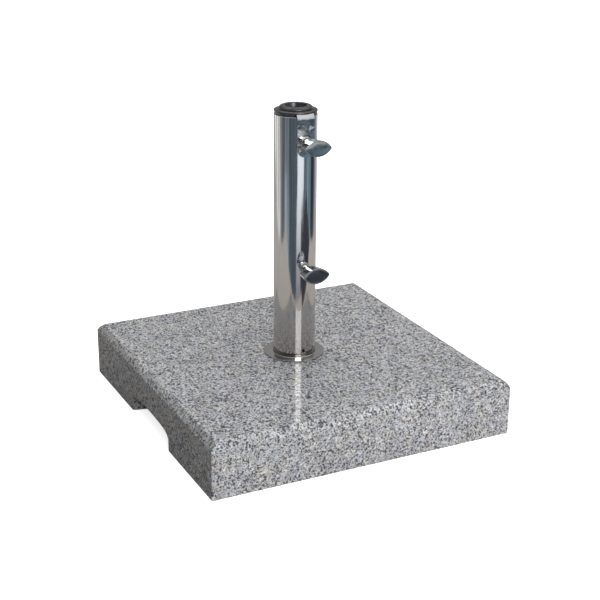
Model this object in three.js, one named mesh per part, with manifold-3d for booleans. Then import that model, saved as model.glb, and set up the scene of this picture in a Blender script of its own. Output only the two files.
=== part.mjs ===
// Parasol base: a square granite slab with a steel tube bolted to its middle. The tube takes the
// parasol's pole, two almond-shaped knobs clamp it, and two nested plastic reducers centre it.
// Millimetres, +Z up. The origin is the middle of the slab's underside, and the knobs face -Y.

import * as THREE from 'three';
import { mergeVertices } from 'three/addons/utils/BufferGeometryUtils.js';
import Module from 'manifold-3d';

const wasm = await Module();
wasm.setup();

// ---------------------------------------------------------------- driving dimensions

const GAP = 0.3;          // air kept between pieces that touch
const OVERCUT = 1;        // how far a cutting body runs past the face it opens

const SLAB_SIDE = 450;
const SLAB_HEIGHT = 80;
const SLAB_CORNER_RADIUS = 3;
const SLAB_ARRIS = 0.6;           // small chamfer round the underside
const EASE_IN = 11;               // eased top edge: how far it runs in
const EASE_DOWN = 10.5;           // and how far it runs down
const EASE_BULGE = 0.7;           // how far the eased edge bows out of a straight chamfer

const GRIP_HALF_WIDTH = 70;       // finger recess at the slab's face
const GRIP_INNER_HALF_WIDTH = 62; // and at its inner end
const GRIP_DEPTH = 36;
const GRIP_HEIGHT = 23;           // ceiling at the ends of its shallow arch
const GRIP_ARCH_RISE = 4;
const GRIP_ROUND = 7;

const TUBE_RADIUS = 30;
const TUBE_WALL = 1.5;
const TUBE_TOP = 431;
const DRAIN_RADIUS = 2.5;
const DRAIN_HEIGHT = 91;

const ROSETTE_RADIUS = 43.4;
const ROSETTE_SHEET = 1.2;
const DISC_THICKNESS = 8;
const DISC_SIDE_GAP = 0.4;

const BOLT_RADIUS = 5.9;          // M12
const BOLT_HOLE_RADIUS = 6.3;
const BOLT_HEAD_FLATS = 18;
const BOLT_HEAD_HEIGHT = 7.5;
const BOLT_END = 90;
const SLAB_HOLE_RADIUS = 7;
const COUNTERBORE_RADIUS = 30;
const COUNTERBORE_DEPTH = 22;
const WASHER_RADIUS = 25;
const WASHER_THICKNESS = 4;
const SPRING_WASHER_RADIUS = 10.2;
const SPRING_WASHER_THICKNESS = 2.9;
const SPRING_WASHER_SLIT = 1.6;

const STRIP_WIDTH = 25.6;         // bracket hooked over the tube's rim
const STRIP_THICKNESS = 1.8;
const STRIP_END_HEIGHT = 388.8;   // centre of its round lower end
const STRIP_INNER_FACE = 24.6;    // where its short inner leg meets the tube's inside
const STRIP_INNER_END = 412;
const STRIP_TOP = 435;

const UPPER_KNOB_HEIGHT = 397;
const LOWER_KNOB_HEIGHT = 217.3;
const UPPER_KNOB_TURN = -1.6;     // degrees from level, as the knobs stand when left alone
const LOWER_KNOB_TURN = 1.4;
const NUT_FLANGE_RADIUS = 8;
const NUT_FLANGE_THICKNESS = 1.5;
const NUT_RADIUS = 5.5;
const NUT_LENGTH = 12;
const NUT_HOLE_RADIUS = 5.85;     // hole in the tube and the bracket for the nut
const STUD_RADIUS = 3.9;          // M8
const STUD_HOLE_RADIUS = 4.3;
const STUD_INNER_REACH = 19.6;    // a reach is a distance from the tube's axis towards -Y
const STUD_OUTER_REACH = 53;
const DOG_RADIUS = 2.4;           // plain end of the stud, inside the plastic tip
const DOG_REACH = 16.4;
const TIP_RADIUS = 3.3;
const TIP_HOLE_RADIUS = 2.8;
const TIP_REACH = 14.5;
const COLLAR_RADIUS = 6;
const COLLAR_REACH = 36.2;
const COLLAR_THICKNESS = 2.5;
const GRIP_NECK_RADIUS = 5.8;
const KNOB_LENGTH = 40;           // almond, tip to tip
const KNOB_HEIGHT = 22.5;
const KNOB_BACK_REACH = 55;       // where the almond's sides begin
const KNOB_RIM_REACH = 70;        // plane of its two tips
const KNOB_CROWN = 1.8;           // how far the front bulges beyond them

const LIP_BOTTOM = TUBE_TOP + GAP;
const OUTER_LIP_RADIUS = 30;
const OUTER_STEP_RADIUS = 29.2;   // lower, slightly narrower tier of the lip
const OUTER_STEP_TOP = 434.2;
const OUTER_LIP_EDGE = 437;
const OUTER_LIP_TOP = 438;
const OUTER_SLEEVE_RADIUS = 28;
const OUTER_BORE_RADIUS = 20.1;
const SLEEVE_BOTTOM = 405;
const LIP_NOTCH_WIDTH = 32;       // room for the bracket's hook
const SLEEVE_NOTCH_WIDTH = 26.6;
const INNER_LIP_RADIUS = 23.75;
const INNER_LIP_BOTTOM = OUTER_LIP_TOP + GAP;
const INNER_LIP_EDGE = 439.6;
const INNER_LIP_TOP = 442.5;
const INNER_SLEEVE_RADIUS = 19.7;
const POLE_HOLE_RADIUS = 15;

const TUBE_SIDES = 64;
const RING_SIDES = 48;
const SMALL_SIDES = 24;

// ---------------------------------------------------------------- materials

const granite = new THREE.MeshStandardMaterial({ color: 0x9a9b9d, roughness: 0.35, metalness: 0 });
const polishedSteel = new THREE.MeshStandardMaterial({ color: 0xb9bcbf, roughness: 0.1, metalness: 1 });
const chrome = new THREE.MeshStandardMaterial({ color: 0xc4c6c9, roughness: 0.06, metalness: 1 });
const blackPlastic = new THREE.MeshStandardMaterial({ color: 0x1c1d1f, roughness: 0.55, metalness: 0 });
const zincSteel = new THREE.MeshStandardMaterial({ color: 0xa5a8a8, roughness: 0.35, metalness: 1 });
const nylon = new THREE.MeshStandardMaterial({ color: 0xd9d6cc, roughness: 0.6, metalness: 0 });

// ---------------------------------------------------------------- shaping helpers

const WELD = 1e-4;

/** A geometry as a manifold solid, for joining and cutting. */
function solid(geometry) {
  const bare = geometry.clone();
  bare.deleteAttribute('normal');
  bare.deleteAttribute('uv');
  const welded = mergeVertices(bare, WELD);
  const corners = welded.index.array;
  const faces = [];
  for (let i = 0; i < corners.length; i += 3) {
    const [a, b, c] = corners.slice(i, i + 3);
    if (a !== b && b !== c && c !== a) faces.push(a, b, c);
  }
  const vertProperties = Float32Array.from(welded.attributes.position.array);
  return new wasm.Manifold(new wasm.Mesh({ numProp: 3, vertProperties, triVerts: Uint32Array.from(faces) }));
}

/** A manifold solid as a geometry. */
function geometryOf(body) {
  const { vertProperties, triVerts } = body.getMesh();
  const geometry = new THREE.BufferGeometry();
  geometry.setAttribute('position', new THREE.BufferAttribute(Float32Array.from(vertProperties), 3));
  geometry.setIndex(new THREE.BufferAttribute(Uint32Array.from(triVerts), 1));
  geometry.computeVertexNormals();
  return geometry;
}

/** Turned about +Z from [radius, height] points, which run anticlockwise with the radius across. */
function turned(profile, sides) {
  const points = profile.map(([radius, height]) => new THREE.Vector2(radius, height));
  if (profile[0][0] > 0) points.push(points[0].clone());
  const geometry = new THREE.LatheGeometry(points, sides);
  geometry.rotateX(Math.PI / 2);
  return solid(geometry);
}

/** A solid through rings of equal count, each anticlockwise seen from the far end. */
function lofted(rings) {
  const count = rings[0].length;
  const positions = rings.flat().flatMap((point) => point.toArray());
  const index = [];
  for (let level = 0; level < rings.length - 1; level += 1) {
    for (let i = 0; i < count; i += 1) {
      const a = level * count + i;
      const b = level * count + (i + 1) % count;
      index.push(a, b, b + count, a, b + count, a + count);
    }
  }
  const addCap = (ring, first, facingBack) => {
    const middle = new THREE.Vector3();
    ring.forEach((point) => middle.addScaledVector(point, 1 / count));
    const hub = positions.length / 3;
    positions.push(...middle.toArray());
    for (let i = 0; i < count; i += 1) {
      const a = first + i;
      const b = first + (i + 1) % count;
      index.push(hub, ...(facingBack ? [b, a] : [a, b]));
    }
  };
  addCap(rings[0], 0, true);
  addCap(rings.at(-1), (rings.length - 1) * count, false);
  const geometry = new THREE.BufferGeometry();
  geometry.setAttribute('position', new THREE.Float32BufferAttribute(positions, 3));
  geometry.setIndex(index);
  return solid(geometry);
}

/** A straight round bar between two heights. */
function bar(radius, bottom, top, sides = SMALL_SIDES) {
  return turned([[0, bottom], [radius, bottom], [radius, top], [0, top]], sides);
}

/** A box between two corners. */
function block(low, high) {
  const size = new THREE.Vector3().subVectors(high, low);
  const middle = new THREE.Vector3().addVectors(low, high).multiplyScalar(0.5);
  return solid(new THREE.BoxGeometry(size.x, size.y, size.z).translate(middle.x, middle.y, middle.z));
}

/** Turns a solid made along +Z so that it points along -Y at a height. */
function towardsKnobs(body, height) {
  return body.rotate([90, 0, 0]).translate([0, 0, height]);
}

function piece(name, body, material) {
  const mesh = new THREE.Mesh(geometryOf(body), material);
  mesh.name = name;
  return mesh;
}

// ---------------------------------------------------------------- granite slab

/** Square ring with round corners. */
function squareRing(half, radius, height) {
  const ring = [];
  const steps = 3;
  for (let corner = 0; corner < 4; corner += 1) {
    for (let step = 0; step <= steps; step += 1) {
      const angle = (corner + step / steps) * Math.PI / 2;
      const quarter = (corner + 0.5) * Math.PI / 2;
      const centre = (half - radius) * Math.SQRT2;
      const x = centre * Math.cos(quarter) + radius * Math.cos(angle);
      const y = centre * Math.sin(quarter) + radius * Math.sin(angle);
      ring.push(new THREE.Vector3(x, y, height));
    }
  }
  return ring;
}

/** The eased top edge, a chamfer that bows out a little. */
function easedEdge(steps = 4) {
  const rings = [];
  for (let step = 0; step <= steps; step += 1) {
    const along = step / steps;
    const bow = EASE_BULGE * Math.sin(along * Math.PI) / Math.SQRT2;
    const half = SLAB_SIDE / 2 - EASE_IN * along + bow;
    const height = SLAB_HEIGHT - EASE_DOWN * (1 - along) + bow;
    rings.push(squareRing(half, SLAB_CORNER_RADIUS, Math.min(height, SLAB_HEIGHT)));
  }
  return rings;
}

/** Cutter for one finger recess, on the side that sign gives (-1 or 1 along X). */
function gripCutter(sign) {
  const face = SLAB_SIDE / 2;
  const section = (depth, halfWidth, lowering) => {
    const x = sign * (face - depth);
    const ring = [new THREE.Vector3(x, -halfWidth, -OVERCUT)];
    const steps = 8;
    for (let step = 0; step <= steps; step += 1) {
      const across = -1 + 2 * step / steps;
      const corner = GRIP_ROUND * Math.abs(across) ** 10;
      const arch = GRIP_ARCH_RISE * (1 - across * across);
      ring.push(new THREE.Vector3(x, across * halfWidth, GRIP_HEIGHT + arch - lowering - corner));
    }
    ring.push(new THREE.Vector3(x, halfWidth, -OVERCUT));
    return sign < 0 ? ring.reverse() : ring;
  };
  const narrowing = GRIP_HALF_WIDTH - GRIP_INNER_HALF_WIDTH;
  return lofted([
    section(-OVERCUT, GRIP_HALF_WIDTH + 1.5, -1.5),
    section(2, GRIP_HALF_WIDTH, 0),
    section(GRIP_DEPTH / 2, GRIP_HALF_WIDTH - narrowing / 2, 0.5),
    section(GRIP_DEPTH - 4, GRIP_INNER_HALF_WIDTH, 2),
    section(GRIP_DEPTH, GRIP_INNER_HALF_WIDTH - 4, 6),
  ]);
}

function graniteSlab() {
  const half = SLAB_SIDE / 2;
  const blank = lofted([
    squareRing(half - SLAB_ARRIS, SLAB_CORNER_RADIUS, 0),
    squareRing(half, SLAB_CORNER_RADIUS, SLAB_ARRIS),
    ...easedEdge(),
  ]);
  return blank
    .subtract(gripCutter(-1))
    .subtract(gripCutter(1))
    .subtract(bar(COUNTERBORE_RADIUS, -OVERCUT, COUNTERBORE_DEPTH, RING_SIDES))
    .subtract(bar(SLAB_HOLE_RADIUS, 0, SLAB_HEIGHT + OVERCUT));
}

// ---------------------------------------------------------------- tube and its foot

const TUBE_BOTTOM = SLAB_HEIGHT + GAP;
const TUBE_BORE = TUBE_RADIUS - TUBE_WALL;

/** Ring between two radii and two heights. */
function ring(inner, outer, bottom, top, sides) {
  return turned([[inner, bottom], [outer, bottom], [outer, top], [inner, top]], sides);
}

function standTube() {
  return ring(TUBE_BORE, TUBE_RADIUS, TUBE_BOTTOM, TUBE_TOP, TUBE_SIDES)
    .subtract(towardsKnobs(bar(DRAIN_RADIUS, TUBE_BORE / 2, TUBE_RADIUS + OVERCUT), DRAIN_HEIGHT))
    .subtract(towardsKnobs(bar(NUT_HOLE_RADIUS, TUBE_BORE / 2, TUBE_RADIUS + OVERCUT), UPPER_KNOB_HEIGHT))
    .subtract(towardsKnobs(bar(NUT_HOLE_RADIUS, TUBE_BORE / 2, TUBE_RADIUS + OVERCUT), LOWER_KNOB_HEIGHT));
}

function tubeFootDisc() {
  const outer = TUBE_BORE - DISC_SIDE_GAP;
  return ring(BOLT_HOLE_RADIUS, outer, TUBE_BOTTOM, TUBE_BOTTOM + DISC_THICKNESS, RING_SIDES);
}

/** Pressed cover: thin rim, a gently rising face and a rounded collar round the tube. */
function coverRosette() {
  const bottom = TUBE_BOTTOM;
  const bore = TUBE_RADIUS + 0.5;
  const collar = bottom + 5.4;
  return turned([
    [ROSETTE_RADIUS - ROSETTE_SHEET, bottom],
    [ROSETTE_RADIUS, bottom],
    [ROSETTE_RADIUS, bottom + 1.3],
    [ROSETTE_RADIUS - 0.7, bottom + 1.9],
    [bore + 4, bottom + 3.1],
    [bore + 2.8, bottom + 3.9],
    [bore + 2.2, collar - 0.5],
    [bore + 1.2, collar],
    [bore, collar - 0.4],
    [bore, collar - 0.4 - ROSETTE_SHEET],
    [bore + 1.4, collar - 0.4 - ROSETTE_SHEET],
    [bore + 3, bottom + 3.1 - ROSETTE_SHEET],
    [ROSETTE_RADIUS - ROSETTE_SHEET, bottom + 1.9 - ROSETTE_SHEET],
  ], TUBE_SIDES);
}

// ---------------------------------------------------------------- bolt and washers under the slab

const WASHER_TOP = COUNTERBORE_DEPTH - GAP;
const WASHER_BOTTOM = WASHER_TOP - WASHER_THICKNESS;
const SPRING_TOP = WASHER_BOTTOM - GAP;
const SPRING_BOTTOM = SPRING_TOP - SPRING_WASHER_THICKNESS;
const HEAD_TOP = SPRING_BOTTOM - GAP;

function anchorBolt() {
  const corner = BOLT_HEAD_FLATS / Math.sqrt(3);
  const head = bar(corner, HEAD_TOP - BOLT_HEAD_HEIGHT, HEAD_TOP, 6);
  const shank = turned([
    [0, HEAD_TOP - 1], [BOLT_RADIUS, HEAD_TOP - 1],
    [BOLT_RADIUS, BOLT_END - 1], [BOLT_RADIUS - 1, BOLT_END], [0, BOLT_END],
  ], SMALL_SIDES);
  return head.add(shank);
}

function anchorSpringWasher() {
  const whole = ring(BOLT_HOLE_RADIUS, SPRING_WASHER_RADIUS, SPRING_BOTTOM, SPRING_TOP, SMALL_SIDES);
  const slit = block(
    new THREE.Vector3(0, -SPRING_WASHER_SLIT / 2, SPRING_BOTTOM - OVERCUT),
    new THREE.Vector3(SPRING_WASHER_RADIUS + OVERCUT, SPRING_WASHER_SLIT / 2, SPRING_TOP + OVERCUT),
  );
  return whole.subtract(slit);
}

function anchorWasher() {
  return ring(BOLT_HOLE_RADIUS, WASHER_RADIUS, WASHER_BOTTOM, WASHER_TOP, RING_SIDES);
}

// ---------------------------------------------------------------- bracket over the rim

const STRIP_OUTER_BACK = TUBE_RADIUS + GAP;
const STRIP_FRONT = STRIP_OUTER_BACK + STRIP_THICKNESS;

/** The strip's side view: outer leg, half-round bend over the rim, short inner leg. */
function stripSideView() {
  const bendMiddle = -(STRIP_FRONT + STRIP_INNER_FACE - STRIP_THICKNESS) / 2;
  const bendOuter = (STRIP_FRONT - STRIP_INNER_FACE + STRIP_THICKNESS) / 2;
  const bendHeight = STRIP_TOP - bendOuter;
  const outline = new THREE.Shape();
  outline.moveTo(-STRIP_FRONT, STRIP_END_HEIGHT - STRIP_WIDTH);
  outline.lineTo(-STRIP_OUTER_BACK, STRIP_END_HEIGHT - STRIP_WIDTH);
  outline.absarc(bendMiddle, bendHeight, bendOuter - STRIP_THICKNESS, Math.PI, 0, true);
  outline.lineTo(-STRIP_INNER_FACE, STRIP_INNER_END);
  outline.lineTo(-STRIP_INNER_FACE + STRIP_THICKNESS, STRIP_INNER_END);
  outline.absarc(bendMiddle, bendHeight, bendOuter, 0, Math.PI, false);
  outline.closePath();
  return outline;
}

/** The strip's front view, square at the top and half round at the lower end. */
function stripFrontView() {
  const half = STRIP_WIDTH / 2;
  const outline = new THREE.Shape();
  outline.moveTo(half, STRIP_TOP + OVERCUT);
  outline.lineTo(-half, STRIP_TOP + OVERCUT);
  outline.absarc(0, STRIP_END_HEIGHT, half, Math.PI, 2 * Math.PI, false);
  outline.closePath();
  return outline;
}

function clampBracket() {
  const across = new THREE.ExtrudeGeometry(stripSideView(), {
    depth: STRIP_WIDTH, bevelEnabled: false, curveSegments: 10,
  });
  const [alongX, alongY, alongZ] = [[1, 0, 0], [0, 1, 0], [0, 0, 1]].map((v) => new THREE.Vector3(...v));
  across.applyMatrix4(new THREE.Matrix4().makeBasis(alongY, alongZ, alongX));
  across.translate(-STRIP_WIDTH / 2, 0, 0);
  const through = new THREE.ExtrudeGeometry(stripFrontView(), {
    depth: TUBE_RADIUS, bevelEnabled: false, curveSegments: 16,
  });
  through.applyMatrix4(new THREE.Matrix4().makeBasis(alongX, alongZ, alongY.clone().negate()));
  through.translate(0, -TUBE_RADIUS / 2, 0);
  return solid(across)
    .intersect(solid(through))
    .subtract(towardsKnobs(bar(NUT_HOLE_RADIUS, TUBE_RADIUS, STRIP_FRONT + OVERCUT), UPPER_KNOB_HEIGHT));
}

// ---------------------------------------------------------------- knobs and their nuts

/** Nut set in the wall, its flange on the surface at the given reach. */
function rivetNut(surfaceReach) {
  const back = surfaceReach + GAP;
  const front = back + NUT_FLANGE_THICKNESS;
  return turned([
    [STUD_HOLE_RADIUS, front - NUT_LENGTH],
    [NUT_RADIUS, front - NUT_LENGTH],
    [NUT_RADIUS, back],
    [NUT_FLANGE_RADIUS, back],
    [NUT_FLANGE_RADIUS, front - 0.4],
    [NUT_FLANGE_RADIUS - 0.4, front],
    [STUD_HOLE_RADIUS, front],
  ], SMALL_SIDES);
}

function thrustTip() {
  return turned([
    [0, TIP_REACH], [TIP_RADIUS - 0.6, TIP_REACH], [TIP_RADIUS, TIP_REACH + 0.6],
    [TIP_RADIUS, STUD_INNER_REACH - GAP], [TIP_HOLE_RADIUS, STUD_INNER_REACH - GAP],
    [TIP_HOLE_RADIUS, DOG_REACH - GAP], [0, DOG_REACH - GAP],
  ], SMALL_SIDES);
}

function knobStud() {
  return turned([
    [0, DOG_REACH], [DOG_RADIUS, DOG_REACH], [DOG_RADIUS, STUD_INNER_REACH],
    [STUD_RADIUS - 0.6, STUD_INNER_REACH], [STUD_RADIUS, STUD_INNER_REACH + 0.6],
    [STUD_RADIUS, STUD_OUTER_REACH], [0, STUD_OUTER_REACH],
  ], SMALL_SIDES);
}

function knobCollar() {
  const front = COLLAR_REACH + COLLAR_THICKNESS;
  return turned([
    [STUD_HOLE_RADIUS, COLLAR_REACH], [COLLAR_RADIUS - 0.5, COLLAR_REACH],
    [COLLAR_RADIUS, COLLAR_REACH + 0.5], [COLLAR_RADIUS, front - 0.5],
    [COLLAR_RADIUS - 0.5, front], [STUD_HOLE_RADIUS, front],
  ], SMALL_SIDES);
}

/** Ring between a circle (share 0) and the almond (share 1), the almond at the given scale. */
function knobRing(share, scale, reach) {
  const halfLength = KNOB_LENGTH / 2;
  const halfHeight = KNOB_HEIGHT / 2;
  const arcRadius = (halfLength ** 2 + halfHeight ** 2) / (2 * halfHeight);
  const halfAngle = Math.asin(halfLength / arcRadius);
  const ringPoints = [];
  const perArc = 16;
  for (let i = 0; i < 2 * perArc; i += 1) {
    const side = i < perArc ? 1 : -1;
    const swing = side * halfAngle * (1 - 2 * (i % perArc) / perArc);
    const angle = i * Math.PI / perArc;
    const almondX = arcRadius * Math.sin(swing) * scale;
    const almondY = side * (arcRadius * Math.cos(swing) - arcRadius + halfHeight) * scale;
    const x = THREE.MathUtils.lerp(GRIP_NECK_RADIUS * Math.cos(angle), almondX, share);
    const y = THREE.MathUtils.lerp(GRIP_NECK_RADIUS * Math.sin(angle), almondY, share);
    ringPoints.push(new THREE.Vector3(x, y, reach));
  }
  return ringPoints;
}

function knobGrip() {
  const neck = COLLAR_REACH + COLLAR_THICKNESS + GAP;
  const body = lofted([
    knobRing(0, 1, neck),
    knobRing(0, 1, neck + 5),
    knobRing(0.22, 1, neck + 9),
    knobRing(0.62, 1, KNOB_BACK_REACH - 3),
    knobRing(0.94, 1, KNOB_BACK_REACH),
    knobRing(1, 1, KNOB_BACK_REACH + 3),
    knobRing(1, 1, KNOB_RIM_REACH - 0.6),
    knobRing(1, 0.97, KNOB_RIM_REACH),
    knobRing(1, 0.8, KNOB_RIM_REACH + KNOB_CROWN * 0.45),
    knobRing(1, 0.45, KNOB_RIM_REACH + KNOB_CROWN * 0.88),
    knobRing(1, 0.12, KNOB_RIM_REACH + KNOB_CROWN),
  ]);
  return body.subtract(bar(STUD_HOLE_RADIUS, neck - OVERCUT, STUD_OUTER_REACH + GAP));
}

/** One knob with its stud, collar, tip and nut. */
function knobSet(prefix, height, turnDegrees, surfaceReach) {
  const set = new THREE.Group();
  set.position.z = height;
  set.rotation.x = Math.PI / 2;
  const turning = new THREE.Group();
  turning.rotation.z = THREE.MathUtils.degToRad(turnDegrees);
  turning.add(
    piece(`${prefix}_knob_grip`, knobGrip(), chrome),
    piece(`${prefix}_knob_collar`, knobCollar(), chrome),
    piece(`${prefix}_knob_stud`, knobStud(), zincSteel),
  );
  set.add(
    piece(`${prefix}_rivet_nut`, rivetNut(surfaceReach), zincSteel),
    piece(`${prefix}_thrust_tip`, thrustTip(), nylon),
    turning,
  );
  return set;
}

// ---------------------------------------------------------------- plastic reducers

/** Room for the bracket's hook: wide under the lip, and the strip's width down the sleeve. */
function hookRoom() {
  const roof = STRIP_TOP + GAP;
  const back = -(STRIP_INNER_FACE - STRIP_THICKNESS - GAP);
  const front = -(OUTER_LIP_RADIUS + OVERCUT);
  const underLip = block(
    new THREE.Vector3(-LIP_NOTCH_WIDTH / 2, front, SLEEVE_BOTTOM + LIP_NOTCH_WIDTH / 2),
    new THREE.Vector3(LIP_NOTCH_WIDTH / 2, -OUTER_SLEEVE_RADIUS + 4, roof),
  );
  const downSleeve = block(
    new THREE.Vector3(-SLEEVE_NOTCH_WIDTH / 2, front, SLEEVE_BOTTOM - OVERCUT),
    new THREE.Vector3(SLEEVE_NOTCH_WIDTH / 2, back, roof),
  );
  return underLip.add(downSleeve);
}

function outerReducer() {
  return turned([
    [OUTER_BORE_RADIUS, SLEEVE_BOTTOM],
    [OUTER_SLEEVE_RADIUS, SLEEVE_BOTTOM],
    [OUTER_SLEEVE_RADIUS, LIP_BOTTOM],
    [OUTER_STEP_RADIUS, LIP_BOTTOM],
    [OUTER_STEP_RADIUS, OUTER_STEP_TOP],
    [OUTER_LIP_RADIUS, OUTER_STEP_TOP],
    [OUTER_LIP_RADIUS, OUTER_LIP_EDGE - 0.6],
    [OUTER_LIP_RADIUS - 0.6, OUTER_LIP_EDGE],
    [INNER_LIP_RADIUS, OUTER_LIP_TOP],
    [OUTER_BORE_RADIUS, OUTER_LIP_TOP],
  ], TUBE_SIDES).subtract(hookRoom());
}

function innerReducer() {
  return turned([
    [POLE_HOLE_RADIUS, SLEEVE_BOTTOM],
    [INNER_SLEEVE_RADIUS, SLEEVE_BOTTOM],
    [INNER_SLEEVE_RADIUS, INNER_LIP_BOTTOM],
    [INNER_LIP_RADIUS, INNER_LIP_BOTTOM],
    [INNER_LIP_RADIUS, INNER_LIP_EDGE],
    [INNER_LIP_RADIUS - 1.6, INNER_LIP_EDGE + 1.7],
    [INNER_LIP_RADIUS - 4, INNER_LIP_TOP - 0.2],
    [POLE_HOLE_RADIUS + 1.6, INNER_LIP_TOP],
    [POLE_HOLE_RADIUS + 0.6, INNER_LIP_TOP - 0.3],
    [POLE_HOLE_RADIUS, INNER_LIP_TOP - 1],
  ], RING_SIDES);
}

// ---------------------------------------------------------------- the whole base

const parasolBase = new THREE.Group();
parasolBase.name = 'parasol_base';
parasolBase.add(
  piece('granite_slab', graniteSlab(), granite),
  piece('stand_tube', standTube(), polishedSteel),
  piece('tube_foot_disc', tubeFootDisc(), polishedSteel),
  piece('cover_rosette', coverRosette(), polishedSteel),
  piece('anchor_bolt', anchorBolt(), zincSteel),
  piece('anchor_spring_washer', anchorSpringWasher(), zincSteel),
  piece('anchor_washer', anchorWasher(), zincSteel),
  piece('clamp_bracket', clampBracket(), polishedSteel),
  knobSet('upper', UPPER_KNOB_HEIGHT, UPPER_KNOB_TURN, STRIP_FRONT),
  knobSet('lower', LOWER_KNOB_HEIGHT, LOWER_KNOB_TURN, TUBE_RADIUS),
  piece('outer_reducer', outerReducer(), blackPlastic),
  piece('inner_reducer', innerReducer(), blackPlastic),
);

export default parasolBase;
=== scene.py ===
"""Looks of the parasol base: granite slab, polished tube, cover rosette, bracket, knobs and reducers.

The scene is in metres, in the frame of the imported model: +Z up, the knobs face -Y. Profiles and sizes of
pieces are worked out in millimetres and multiplied by MM.
"""

import math

import bmesh
import bpy
from mathutils import Matrix, Vector, noise


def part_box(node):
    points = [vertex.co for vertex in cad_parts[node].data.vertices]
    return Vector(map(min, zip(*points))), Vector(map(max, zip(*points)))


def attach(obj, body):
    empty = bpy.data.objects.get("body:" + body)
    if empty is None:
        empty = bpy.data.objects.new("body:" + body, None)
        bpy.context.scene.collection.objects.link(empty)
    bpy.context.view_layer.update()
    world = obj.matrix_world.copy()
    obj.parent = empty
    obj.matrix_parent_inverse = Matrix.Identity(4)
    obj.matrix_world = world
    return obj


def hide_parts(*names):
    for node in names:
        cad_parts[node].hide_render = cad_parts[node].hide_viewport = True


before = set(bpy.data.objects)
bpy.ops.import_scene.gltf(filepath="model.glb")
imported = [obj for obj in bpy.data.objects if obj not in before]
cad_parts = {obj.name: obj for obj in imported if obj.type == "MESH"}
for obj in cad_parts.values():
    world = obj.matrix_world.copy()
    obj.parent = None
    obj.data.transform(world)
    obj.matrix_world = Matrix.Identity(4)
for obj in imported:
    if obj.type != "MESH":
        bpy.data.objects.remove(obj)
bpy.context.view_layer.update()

MM = 0.001

# ---------------------------------------------------------------- sizes, most of them read from the frame

slab_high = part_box("granite_slab")[1]
tube_low, tube_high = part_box("stand_tube")
rosette_low, rosette_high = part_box("cover_rosette")
SLAB_HALF = slab_high.x
SLAB_TOP = slab_high.z
TUBE_RADIUS = tube_high.x
TUBE_WALL = 1.5 * MM
TUBE_BORE = TUBE_RADIUS - TUBE_WALL
TUBE_FOOT = tube_low.z
TUBE_RIM = tube_high.z
KNOB_HEIGHTS = {side: sum(c.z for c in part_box(f"{side}_rivet_nut")) / 2 for side in ("upper", "lower")}
# How far each knob is turned from level at rest.
KNOB_TURNS = {"upper": math.radians(-1.6), "lower": math.radians(1.4)}
# The holes in the tube's wall, in millimetres.
NUT_HOLE_RADIUS = 5.8
DRAIN_HEIGHT, DRAIN_RADIUS = 91, 2.5

# ---------------------------------------------------------------- mesh helpers


def add_piece(name, vertices, faces, material=None):
    """A new mesh object in the scene."""
    mesh = bpy.data.meshes.new(name)
    mesh.from_pydata([tuple(v) for v in vertices], [], faces)
    mesh.validate()
    piece = bpy.data.objects.new(name, mesh)
    bpy.context.scene.collection.objects.link(piece)
    if material:
        mesh.materials.append(material)
    return piece


def turned(name, profile, sides, material=None):
    """A body turned about +Z from a closed profile of (radius, height) points in millimetres.

    The profile runs anticlockwise with the radius across. From axis to axis it makes a solid bar.
    """
    on_axis = profile[0][0] == 0 and profile[-1][0] == 0
    outer = profile[1:-1] if on_axis else profile
    count = len(outer)
    vertices = []
    for i in range(sides):
        angle = 2 * math.pi * i / sides
        for radius, height in outer:
            reach = radius * MM
            vertices.append((reach * math.cos(angle), reach * math.sin(angle), height * MM))
    faces = []
    spans = count - 1 if on_axis else count
    for i in range(sides):
        here, there = i * count, (i + 1) % sides * count
        for j in range(spans):
            k = (j + 1) % count
            faces.append((here + j, there + j, there + k, here + k))
    if on_axis:
        faces.append([i * count for i in reversed(range(sides))])
        faces.append([i * count + count - 1 for i in range(sides)])
    return add_piece(name, vertices, faces, material)


def lofted(name, rings, material=None):
    """A body through rings of equal count, each anticlockwise seen from the far end, with flat ends."""
    count = len(rings[0])
    vertices = [point for ring in rings for point in ring]
    faces = []
    for level in range(len(rings) - 1):
        for i in range(count):
            a = level * count + i
            b = level * count + (i + 1) % count
            faces.append((a, b, b + count, a + count))
    last = (len(rings) - 1) * count
    faces.append(list(reversed(range(count))))
    faces.append([last + i for i in range(count)])
    return add_piece(name, vertices, faces, material)


def quarter_turn(steps):
    """Angles from 0 to a right angle in equal steps."""
    return [step / steps * math.pi / 2 for step in range(steps + 1)]


def apply_modifiers(piece):
    """Gives the piece the mesh that its modifiers make, and leaves none on it."""
    graph = bpy.context.evaluated_depsgraph_get()
    mesh = bpy.data.meshes.new_from_object(piece.evaluated_get(graph))
    old = piece.data
    piece.modifiers.clear()
    piece.data = mesh
    bpy.data.meshes.remove(old)
    return piece


def carve(piece, cutter, operation="DIFFERENCE"):
    """Cuts piece with cutter, which is then removed."""
    bpy.context.view_layer.update()
    modifier = piece.modifiers.new("carve", "BOOLEAN")
    modifier.operation = operation
    modifier.solver = "EXACT"
    modifier.object = cutter
    apply_modifiers(piece)
    bpy.data.objects.remove(cutter)
    return piece


def soften(piece, width, segments=2, angle=30):
    """Rounds the edges sharper than an angle in degrees. The width is in millimetres."""
    modifier = piece.modifiers.new("soften", "BEVEL")
    modifier.width = width * MM
    modifier.segments = segments
    modifier.limit_method = "ANGLE"
    modifier.angle_limit = math.radians(angle)
    weighted = piece.modifiers.new("weighted", "WEIGHTED_NORMAL")
    weighted.keep_sharp = True
    piece.data.shade_smooth()
    return apply_modifiers(piece)


def smooth(piece, angle=32):
    """Smooth shading, but for the edges sharper than an angle in degrees."""
    piece.data.shade_smooth()
    piece.data.set_sharp_from_angle(angle=math.radians(angle))
    return piece


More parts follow.
